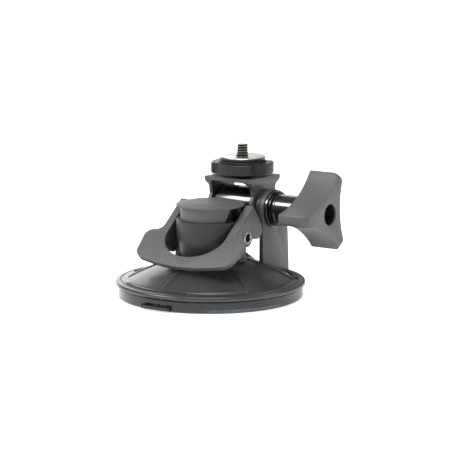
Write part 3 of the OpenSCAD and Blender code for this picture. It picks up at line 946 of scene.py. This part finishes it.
@dataclass
class LeverArm:
    """Horseshoe handle with two cheeks, on its hollow pin."""

    finisher: Finisher
    slope: float = 38.66
    rise: float = 8.8
    thick: float = 2.2
    inner: float = 17.7
    arm: float = 4.1
    shoulder: float = 8.2
    reach: float = 30.3
    opening: float = 9
    bow: float = 14.6
    pin_wall: float = 0.9
    pin_seat: float = 3.12

    def __post_init__(self) -> None:
        """Reads the pivot's place."""
        self.pivot = middle("lever_pin")
        self.lean = Matrix.Rotation(math.radians(self.slope), 3, "X")

    def plate_outline(self) -> list[Point2]:
        """Outline of the horseshoe: across, and up its slope from the pivot."""
        arm_x = self.inner + self.arm
        half_w = arm_x + self.shoulder
        half = [*arc((0, self.reach - 91.6), 91.6, 90, 75.2, 8),
                *arc((half_w - 7.8, self.reach - 9.9), 7, 76, 0, 12),
                *arc((half_w - 4.4, 12.7), 4.4, 0, -90, 8), *arc((arm_x + 4, 4.3), 4, 90, 180, 8),
                (arm_x, -13.4), (self.inner, -13.4),
                *[(self.inner * x, self.opening + self.bow * y) for x, y in arc((0, 0), 1, 0, 90, 30)]]
        whole = [*half, *[(-x, y) for x, y in reversed(half[1:-1])]]
        return [(x, -y) for x, y in whole]

    def cheek_outline(self) -> list[Point2]:
        """Outline of a cheek: up the slope from the pivot, and up from the pivot."""
        points = [(-13.4, self.rise - 0.4), (-13.5, 1), (-12.6, -4.5), *arc((-9.2, -4.8), 3, 190, 280, 6),
                  (-6.4, -7.4), *arc((0, 0), 4.6, 235, 325, 8), (6.2, -1.2), (10.6, -3.6), (11.9, -3.2),
                  (12.9, 3.0), (16, self.rise - self.thick), (16, self.rise - 0.4)]
        return [(-u, v) for u, v in points]

    def build(self) -> None:
        """Builds the handle and its pin."""
        place = (0, self.pivot.y, self.pivot.z)
        lever = Bench.prism("handle", self.plate_outline(), self.rise - self.thick, self.rise, self.lean,
                            place)
        for _, x0, x1 in both_sides(self.inner + 0.02, self.inner + self.arm - 0.02):
            cheek = Bench.prism("cheek", self.cheek_outline(), x0, x1, self.lean @ ACROSS, place)
            Bench.combine(lever, cheek, "UNION")
        reach = self.inner + self.arm + 1
        Bench.drill(lever, self.pin_seat, -reach, reach, ACROSS, place)
        Bench.round_edges(lever, 0.55, 3, 40)
        self.finisher.dress(lever, Finish.lever_plastic, "lever", "lever")
        _, end, out = span("lever_pin")
        bore_r = out - self.pin_wall
        tube = [(bore_r, -end + 0.3), (bore_r + 0.25, -end), (out - 0.3, -end), (out, -end + 0.3),
                (out, end - 0.3), (out - 0.3, end), (bore_r + 0.25, end), (bore_r, end - 0.3)]
        pin = Bench.ring("hollow_pin", tube, ACROSS, place, 72)
        self.finisher.dress(pin, Finish.pin_steel, "lever", "lever_pin", angle=25)


@dataclass
class TiltHead:
    """Arched saddle on its drum, with the washers and the sleeve beside it."""

    finisher: Finisher
    half: float = 13.4
    wall: float = 1.8
    plate: float = 1.9
    cheek_r: float = 11.6
    waist: float = 10
    waist_z: float = 8.6
    arch_corner: float = 3.0
    depth: float = 13.2
    lip: float = 0.7
    bolt_r: float = 3.05
    screw_bore: float = 3.2
    past_all: float = 20

    def __post_init__(self) -> None:
        """Reads the axis and the saddle's top."""
        self.axis = middle("tilt_drum")
        self.place = (0.0, self.axis.y, self.axis.z)
        self.top = high("tilt_saddle").z

    def saddle(self) -> None:
        """Models the saddle from its side outline, and hollows its arch."""
        top = self.top - self.axis.z
        under = top - self.plate
        side = [*arc((0, 0), self.cheek_r, -90, 34, 24),
                *flowing([(self.waist, self.waist_z - 1), (self.waist, self.waist_z),
                          (self.waist + 0.6, self.waist_z + 2.4), (self.depth - 0.6, under - 0.9),
                          (self.depth, under + 0.2)], 4), (self.depth, top)]
        outline = [*side, *[(-y, z) for y, z in reversed(side[1:])]]
        width, far = self.half + self.lip, self.past_all
        saddle = Bench.prism("saddle", outline, -width, width, ACROSS, self.place)
        for sign in (-1, 1):
            # Outer faces lean in below the flared top corners
            x, brow = self.half * sign, under + 0.2
            flare = [(x, -far), (x, under - 3), (x + self.lip * sign, brow), (x + 4 * sign, brow),
                     (x + 4 * sign, -far)]
            Bench.combine(saddle, Bench.prism("flare", flare, -far, far, BACK, self.place), "DIFFERENCE")
        inner, corner = self.half - self.wall, self.arch_corner
        arch = mirrored([(inner, -far), *arc((inner - corner, under - corner), corner, 0, 90, 8)])
        Bench.combine(saddle, Bench.prism("arch", arch, -far, far, BACK, self.place), "DIFFERENCE")
        Bench.drill(saddle, self.bolt_r, -far, far, ACROSS, self.place)
        Bench.drill(saddle, self.screw_bore, 0, far, UP, self.place)
        Bench.round_edges(saddle, 0.45, 3, 35)
        self.finisher.dress(saddle, Finish.saddle_paint, "tilt_head", "tilt_saddle")

    def round_piece(self, name: str, node: str, finish: Finish, body: str, edge: float) -> None:
        """Models a ring on the tilt axis with rounded rims.

        Args:
            name: the piece's name.
            node: the frame node it stands for.
            finish: its finish.
            body: the body it rides on.
            edge: radius of its rims.
        """
        x0, x1, out = span(node)
        profile = [(self.bolt_r, x0), *arc((out - edge, x0 + edge), edge, -90, 0, 4),
                   *arc((out - edge, x1 - edge), edge, 0, 90, 4), (self.bolt_r, x1)]
        piece = Bench.ring(name, profile, ACROSS, self.place, 128)
        self.finisher.dress(piece, finish, body, node, angle=35)

    def sleeve(self) -> None:
        """Models the knob's sleeve with a collar at each end."""
        x0, x1, out = span("knob_sleeve")
        profile = [(self.bolt_r, x0), *arc((out - 0.2, x0 + 0.2), 0.2, -90, 0, 3), (out, x0 + 1.5),
                   (out - 0.3, x0 + 1.8), (out - 0.3, x1 - 1.2), (out - 0.1, x1 - 1.0),
                   *arc((out - 0.2, x1 - 0.2), 0.2, 0, 90, 3), (self.bolt_r, x1)]
        piece = Bench.ring("sleeve", profile, ACROSS, self.place, 128)
        self.finisher.dress(piece, Finish.drum_plastic, "sleeve", "knob_sleeve", angle=25)

    def cover(self) -> None:
        """Models the round cover over the bolt's head."""
        x0, x1, out = span("bolt_cover")
        profile = [(0, x0 + 0.25), (out * 0.45, x0 + 0.2), (out * 0.6, x0),
                   *arc((out - 0.8, x0 + 0.8), 0.8, -90, 0, 5), (out, x1), (out - 0.8, x1),
                   (out - 0.8, x1 - 2.8), (0, x1 - 2.8)]
        piece = Bench.lathe("bolt_cap", profile, ACROSS, self.place, 96)
        self.finisher.dress(piece, Finish.drum_plastic, "tilt_head", "bolt_cover", angle=35)

    def build(self) -> None:
        """Builds every piece."""
        self.saddle()
        for name, node, finish, body, edge in (
                ("drum", "tilt_drum", Finish.drum_plastic, "tilt_head", 0.4),
                ("spacer_ring", "friction_washer", Finish.housing_plastic, "base", 0.35),
                ("thrust_ring", "thrust_washer", Finish.drum_plastic, "base", 0.3),
                ("plain_washer", "steel_washer", Finish.dark_steel, "base", 0.25)):
            self.round_piece(name, node, finish, body, edge)
        self.cover()
        self.sleeve()


@dataclass
class ClampKnob:
    """Three-lobed knob with a round recess."""

    finisher: Finisher
    radius: float = 21.5
    lobe: float = 5.5
    waist: float = 9.4
    turn: float = 3
    recess: float = 5.4
    recess_depth: float = 6.5
    # Skin and drop of the dark sheet that paints shade inside the recess.
    liner_skin: float = 0.06
    liner_drop: float = 0.9
    socket: float = 5.02
    socket_depth: float = 9
    front_round: float = 3.0

    def outline(self) -> list[Point2]:
        """Outline of the knob about its axis, one lobe after another."""
        corner = (self.radius - 0.6, self.lobe / 2)
        third: list[Point2] = []
        start = math.degrees(math.atan2(self.lobe / 2 - 0.7, self.radius))
        third += arc((0, 0), self.radius, -start, start, 4)
        first = Vector(corner)
        last = Vector(turned([(corner[0], -corner[1])], 120)[0])
        half = (last - first).length / 2
        sag = ((first + last) / 2).length - self.waist
        bend = (half * half + sag * sag) / (2 * sag)
        hollow = turned([(self.waist + bend, 0)], 60)[0]
        spread = math.degrees(math.asin(half / bend))
        third += arc(hollow, bend, 240 + spread, 240 - spread, 28)
        whole: list[Point2] = []
        for angle in (0, 120, 240):
            whole += turned(third, angle)
        return turned(whole, 180 + self.turn)

    def build(self) -> None:
        """Builds the knob."""
        axis = middle("tilt_drum")
        x0, x1 = low("clamp_knob").x, high("clamp_knob").x
        place = (0.0, axis.y, axis.z)
        knob = Bench.prism("knob", self.outline(), x0, x1, ACROSS, place)
        r, soft = self.radius, self.front_round
        limit = [(0, x0 - 1), (r + 1, x0 - 1), (r + 1, x1 - 6), *arc((r - soft, x1 - soft), soft, 0, 90, 10),
                 (0, x1)]
        Bench.combine(knob, Bench.lathe("limit", limit, ACROSS, place, 160), "INTERSECT")
        deep = x1 - self.recess_depth
        Bench.drill(knob, self.recess, deep, x1 + 1, ACROSS, place, 72)
        Bench.drill(knob, self.socket, x0 - 1, x0 + self.socket_depth, ACROSS, place, 72)
        Bench.round_edges(knob, 0.6, 3, 35)
        self.finisher.dress(knob, Finish.knob_plastic, "knob", "clamp_knob")
        # Very dark glossy skin inside the recess: painted shade in the hollow, not a separate part.
        bore, skin, brim = self.recess - 0.01, self.liner_skin, x1 - self.liner_drop
        cup = [(0, deep + skin), (bore - skin, deep + skin), (bore - skin, brim), (bore, brim),
               (bore, deep + 0.01), (0, deep + 0.01)]
        painted_shade_sheet = Bench.lathe("recess_painted_shade", cup, ACROSS, place, 72)
        self.finisher.dress(painted_shade_sheet, Finish.drum_plastic, "knob", "clamp_knob")


@dataclass
class CameraStud:
    """Threaded stud with its round plate and thumb nut."""

    finisher: Finisher
    thread: float = 3.175
    pitch: float = 1.27
    nut_r: float = 15.9
    hub_r: float = 12.0
    lobe_height: float = 5.4
    notch_r: float = 3.9
    notch_out: float = 1.3
    nut_turn: float = 63
    flutes: int = 96
    flute_depth: float = 0.10
    outline_steps: int = 480
    plate_rings: tuple[float, ...] = (9.2, 7.4, 5.6)
    ring_half: float = 0.12
    head_r: float = 5.2
    head_height: float = 1.58

    def __post_init__(self) -> None:
        """Reads the stud's place."""
        self.axis = middle("camera_plate")
        self.place = (0.0, self.axis.y, 0.0)

    def nut_outline(self) -> list[Point2]:
        """Outline of the nut: four notches, and fine flutes on its lobes."""
        points: list[Point2] = []
        out = self.nut_r + self.notch_out
        for i in range(self.outline_steps):
            angle = 360 * i / self.outline_steps
            away = (angle - self.nut_turn + 45) % 90 - 45
            a = math.radians(away)
            reach = self.notch_r ** 2 - (out * math.sin(a)) ** 2
            edge = out * math.cos(a) - math.sqrt(reach) if reach > 0 else self.nut_r
            ripple = self.flute_depth * (1 - math.cos(math.radians(angle * self.flutes))) / 2
            radius = min(edge, self.nut_r - ripple)
            points.append((radius * math.cos(math.radians(angle)), radius * math.sin(math.radians(angle))))
        return points

    def nut(self) -> None:
        """Models the thumb nut: four fluted lobes under a round hub."""
        z0, z1 = low("thumb_nut").z, high("thumb_nut").z
        lobe_top = z0 + self.lobe_height
        nut = Bench.prism("nut", self.nut_outline(), z0, lobe_top, UP, self.place)
        rim = self.nut_r + 0.3
        limit = [(0, z0), (rim - 0.7, z0), (rim, z0 + 0.7), (rim, lobe_top - 0.65),
                 (rim - 0.65, lobe_top), (0, lobe_top)]
        Bench.combine(nut, Bench.lathe("limit", limit, UP, self.place, 160), "INTERSECT")
        hub = [(0, z0 + 1), (self.hub_r, z0 + 1), (self.hub_r, z1 - 0.3), (self.hub_r - 0.3, z1), (0, z1)]
        Bench.combine(nut, Bench.lathe("hub", hub, UP, self.place, 144), "UNION")
        wide, tight, step = self.thread + 2.4, self.thread + 0.05, z0 + 0.6
        bore = [(0, z0 - 1), (wide, z0 - 1), (wide, step), (tight, step), (tight, z1 + 1), (0, z1 + 1)]
        Bench.combine(nut, Bench.lathe("bore", bore, UP, self.place, 72), "DIFFERENCE")
        self.finisher.dress(nut, Finish.nut_plastic, "nut", "thumb_nut", angle=25)

    def plate(self) -> None:
        """Models the bright plate with its bevelled rim and shallow rings."""
        z0, z1 = low("camera_plate").z, high("camera_plate").z
        r, hole = high("camera_plate").x, self.thread + 0.05
        rings: list[Point2] = []
        half = self.ring_half
        for ring in self.plate_rings:
            rings += [(ring + half, z1), (ring, z1 - half / 2), (ring - half, z1)]
        seam = z1 - 0.35
        top = [(hole, seam), (r - 0.05, seam), (r - 0.35, z1), *rings, (hole + 0.3, z1), (hole, z1 - 0.3)]
        rim = [(hole, z0), (r - 0.5, z0), (r - 0.3, z0 + 0.4), (r, z0 + 0.6), (r, seam), (hole, seam)]
        for name, profile, finish in (("seat_plate", top, Finish.plate_metal),
                                      ("plate_rim", rim, Finish.dark_steel)):
            disc = Bench.ring(name, profile, UP, self.place, 160)
            self.finisher.dress(disc, finish, "plate", "camera_plate", angle=25)

    def stud(self) -> None:
        """Models the stud: a helical thread, its core and its hexagonal head."""
        z1 = high("camera_screw").z - 0.02
        z0 = low("camera_plate").z - 1
        p, crest, root = self.pitch, self.thread - 0.01, self.thread - 0.7 * self.pitch
        tooth = [(root, 0, 0), (root, 0, p * 0.16), (crest, 0, p * 0.47), (crest, 0, p * 0.55),
                 (root, 0, p * 0.86), (root, 0, p)]
        thread = Bench.chain("stud_thread", tooth)
        turns = math.ceil((z1 - z0) / p) + 3
        Bench.clear()
        Bench.modify(thread, "SCREW", axis="Z", screw_offset=p * MM, iterations=turns, steps=40,
                     render_steps=40, angle=math.tau, use_merge_vertices=True, merge_threshold=Bench.WELD)
        Bench.settle(thread, UP, (0, self.axis.y, z0 - p))
        for height, side in ((z0, -1), (z1, 1)):
            Bench.hold(thread)
            bpy.ops.object.mode_set(mode="EDIT")
            bpy.ops.mesh.select_all(action="SELECT")
            bpy.ops.mesh.bisect(plane_co=(0, self.axis.y * MM, height * MM), plane_no=(0, 0, side),
                                use_fill=True, clear_outer=True, threshold=0.001 * MM)
        bpy.ops.mesh.select_all(action="SELECT")
        bpy.ops.mesh.normals_make_consistent(inside=False)
        Bench.clear()
        # Thread crests get the edge mark; dark_steel paints them with a bright highlight.
        mesh = thread.data
        mark = mesh.attributes.new(Bench.WEAR, "FLOAT", "POINT")
        middle_y, rim = self.axis.y * MM, (crest - 0.05) * MM
        mark.data.foreach_set("value", [float(math.hypot(v.co.x, v.co.y - middle_y) > rim)
                                        for v in mesh.vertices])
        self.finisher.dress(thread, Finish.dark_steel, "tilt_head", "camera_screw", angle=35)
        base = low("camera_screw").z
        core, shank_r, shank_low = root + 0.02, crest - 0.02, base + 0.4
        profile = [(0, shank_low), (core, shank_low), (shank_r, shank_low), (shank_r, z0), (core, z1 - 0.3),
                   (root - 0.4, z1 - 0.02), (0, z1 - 0.02)]
        shank = Bench.lathe("stud_core", profile, UP, self.place, 64)
        self.finisher.dress(shank, Finish.dark_steel, "tilt_head", "camera_screw", angle=35)
        hexagon = arc((0, 0), self.head_r, 0, 300, 5)
        head = Bench.prism("stud_head", hexagon, base, base + self.head_height, UP, self.place)
        Bench.round_edges(head, 0.25, 2)
        self.finisher.dress(head, Finish.dark_steel, "tilt_head", "camera_screw")

    def build(self) -> None:
        """Builds every piece."""
        self.nut()
        self.plate()
        self.stud()


@dataclass
class Studio:
    """Pale floor, soft lights and the camera."""

    azimuth: float = 34.5
    elevation: float = 10.1
    distance: float = 1200
    aim: Point3 = (4.31, 9.97, 32.44)
    lens: float = 188.6
    sensor: float = 36
    clip: Point2 = (0.05, 50)
    softboxes: tuple[tuple[float, float, float, float], ...] = (
        (-40, 42, 0.45, 14.0), (118, 30, 0.6, 5.0), (30, 76, 0.7, 11.0), (-128, 17, 0.9, 5.5))
    """Azimuth, elevation, size in metres and power of each."""
    light_distance: float = 1.4
    surroundings: float = 0.30
    floor_size: float = 14
    floor_drop: float = 0.0002
    floor_shade: Point3 = (0.92, 0.92, 0.92)
    floor_glow: float = 0.68

    def direction(self, azimuth: float, elevation: float) -> Vector:
        """Direction from the object to a viewer, by azimuth and elevation in degrees."""
        a, e = math.radians(azimuth), math.radians(elevation)
        return Vector((math.sin(a) * math.cos(e), -math.cos(a) * math.cos(e), math.sin(e)))

    def camera(self) -> None:
        """Places the camera."""
        data = bpy.data.cameras.new("camera")
        data.lens = self.lens
        data.sensor_width = self.sensor
        data.clip_start, data.clip_end = self.clip
        camera = bpy.data.objects.new("camera", data)
        bpy.context.collection.objects.link(camera)
        view = self.direction(self.azimuth, self.elevation)
        camera.location = Vector(self.aim) * MM + view * self.distance * MM
        camera.rotation_euler = view.to_track_quat("Z", "Y").to_euler()
        bpy.context.scene.camera = camera

    def floor(self) -> None:
        """Lays the floor."""
        Bench.clear()
        bpy.ops.mesh.primitive_plane_add(size=self.floor_size, location=(0, 0, -self.floor_drop))
        floor = bpy.context.object
        floor.name = "floor"
        bpy.ops.object.transform_apply(location=True, rotation=True, scale=True)
        shop = PaintShop("studio_floor")
        shop.feed(shop.shader, {"Base Color": (*self.floor_shade, 1), "Roughness": 0.9,
                                "Emission Color": (1, 1, 1, 1), "Emission Strength": self.floor_glow})
        floor.data.materials.append(shop.material)

    def lights(self) -> None:
        """Hangs the softboxes and sets the white surroundings."""
        aim = Vector(self.aim) * MM
        for index, (azimuth, elevation, size, power) in enumerate(self.softboxes):
            data = bpy.data.lights.new(f"softbox_{index}", "AREA")
            data.shape = "SQUARE"
            data.size = size
            data.energy = power
            light = bpy.data.objects.new(f"softbox_{index}", data)
            bpy.context.collection.objects.link(light)
            direction = self.direction(azimuth, elevation)
            light.location = aim + direction * self.light_distance
            light.rotation_euler = direction.to_track_quat("Z", "Y").to_euler()
        world = bpy.data.worlds.new("white")
        bpy.context.scene.world = world
        world.use_nodes = True
        background = world.node_tree.nodes["Background"]
        background.inputs["Color"].default_value = (1, 1, 1, 1)
        background.inputs["Strength"].default_value = self.surroundings
        bpy.context.scene.view_settings.view_transform = "Standard"

    def build(self) -> None:
        """Sets everything up."""
        self.camera()
        self.floor()
        self.lights()


def main() -> None:
    """Builds the whole scene in order."""
    logging.basicConfig(level=logging.INFO, format="%(name)s: %(message)s")
    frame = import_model()
    Studio().build()
    finisher = Finisher(frame)
    finisher.dress_frame()
    for unit in (SuctionCup, PlungerUnit, LeverArm, TiltHead, ClampKnob, CameraStud):
        unit(finisher).build()
        LOG.info("%s done", unit.__name__)
    Bench.clear()
    bpy.context.view_layer.update()


if __name__ == "__main__":
    main()
